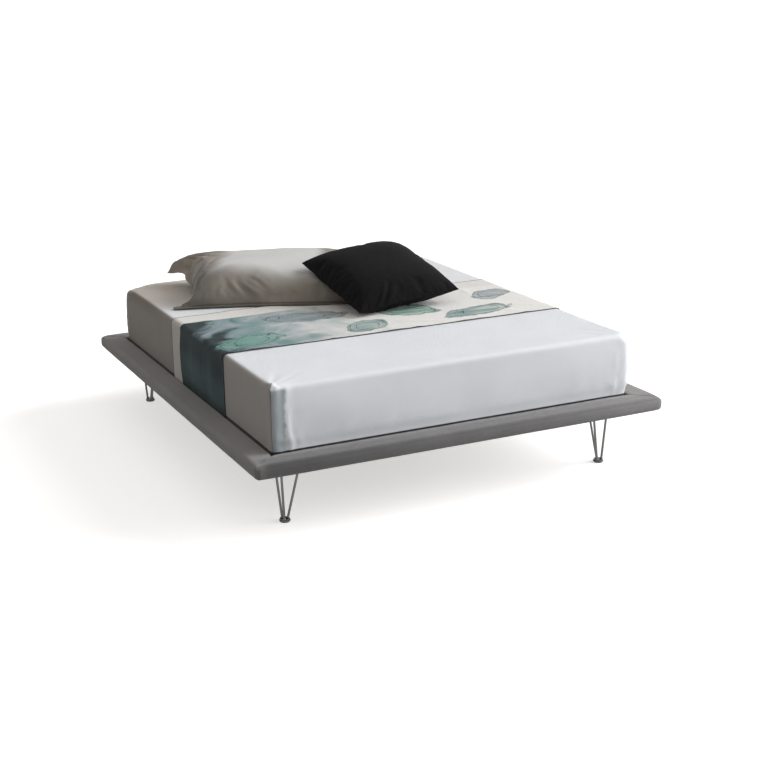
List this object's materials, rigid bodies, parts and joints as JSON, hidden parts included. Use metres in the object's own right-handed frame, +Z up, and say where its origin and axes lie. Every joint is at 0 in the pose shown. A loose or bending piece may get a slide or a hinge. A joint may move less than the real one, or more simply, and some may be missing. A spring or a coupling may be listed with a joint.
{
  "type": "upholstered bed",
  "caption": "Low platform bed with a wide upholstered rim on hairpin legs, a slatted base, a dressed mattress, a long pillow and a square cushion.",
  "frame": {"origin": "middle of the bed on the floor", "axes": "+Z up, +Y to the head end, +X to the right of someone standing at the foot end"},
  "size_m": [1.83, 2.18, 0.8167],
  "materials": {
    "rim_fabric": "matt woven upholstery",
    "timber": "planed softwood",
    "plywood": "sanded plywood",
    "slat_timber": "planed and sanded",
    "zinc_steel": "zinc plated",
    "bright_steel": "bright plated",
    "disc_steel": "dark plated",
    "black_plastic": "moulded, matt",
    "leg_paint": "powder coated",
    "mattress_cloth": "knitted ticking",
    "sheet_cloth": "plain weave cotton",
    "runner_cloth": "printed cotton sateen",
    "pillow_cloth": "cotton sateen",
    "cushion_cloth": "matt cotton"
  },
  "bodies": {
    "bed_frame": {"beam_hanger_foot": "zinc_steel", "beam_hanger_head": "zinc_steel", "corner_angle_front_left": "zinc_steel", "corner_angle_front_right": "zinc_steel", "corner_angle_rear_left": "zinc_steel", "corner_angle_rear_right": "zinc_steel", "corner_plate_front_left": "plywood", "corner_plate_front_right": "plywood", "corner_plate_rear_left": "plywood", "corner_plate_rear_right": "plywood", "foot_disc_front_left": "disc_steel", "foot_disc_front_right": "disc_steel", "foot_disc_rear_left": "disc_steel", "foot_disc_rear_right": "disc_steel", "foot_glide_front_left": "black_plastic", "foot_glide_front_right": "black_plastic", "foot_glide_rear_left": "black_plastic", "foot_glide_rear_right": "black_plastic", "ledger_foot": "timber", "ledger_head": "timber", "ledger_left": "timber", "ledger_right": "timber", "leg_front_left": "bright_steel", "leg_front_right": "bright_steel", "leg_rear_left": "bright_steel", "leg_rear_right": "bright_steel", "middle_beam": "timber", "middle_leg": "leg_paint", "middle_leg_glide": "black_plastic", "rim_core_foot": "timber", "rim_core_head": "timber", "rim_core_left": "timber", "rim_core_right": "timber", "rim_cover_foot": "rim_fabric", "rim_cover_head": "rim_fabric", "rim_cover_left": "rim_fabric", "rim_cover_right": "rim_fabric", "slat_01": "slat_timber", "slat_02": "slat_timber", "slat_03": "slat_timber", "slat_04": "slat_timber", "slat_05": "slat_timber", "slat_06": "slat_timber", "slat_07": "slat_timber", "slat_08": "slat_timber", "slat_09": "slat_timber", "slat_10": "slat_timber", "slat_11": "slat_timber", "slat_12": "slat_timber", "slat_13": "slat_timber", "slat_14": "slat_timber", "slat_seats_left": "black_plastic", "slat_seats_middle": "black_plastic", "slat_seats_right": "black_plastic"},
    "mattress_set": {"mattress": "mattress_cloth", "fitted_sheet": "sheet_cloth", "runner": "runner_cloth"},
    "pillow_body": {"pillow": "pillow_cloth"},
    "cushion_body": {"cushion": "cushion_cloth"}
  },
  "joints": [
    {"name": "mattress_lift", "type": "slide", "parent": "bed_frame", "child": "mattress_set", "axis": [0, 0, 1], "range_m": [0, 0.35]},
    {"name": "pillow_lift", "type": "slide", "parent": "mattress_set", "child": "pillow_body", "axis": [0, 0, 1], "range_m": [0, 0.35]},
    {"name": "cushion_lift", "type": "slide", "parent": "pillow_body", "child": "cushion_body", "axis": [0, 0, 1], "range_m": [0, 0.35]}
  ]
}
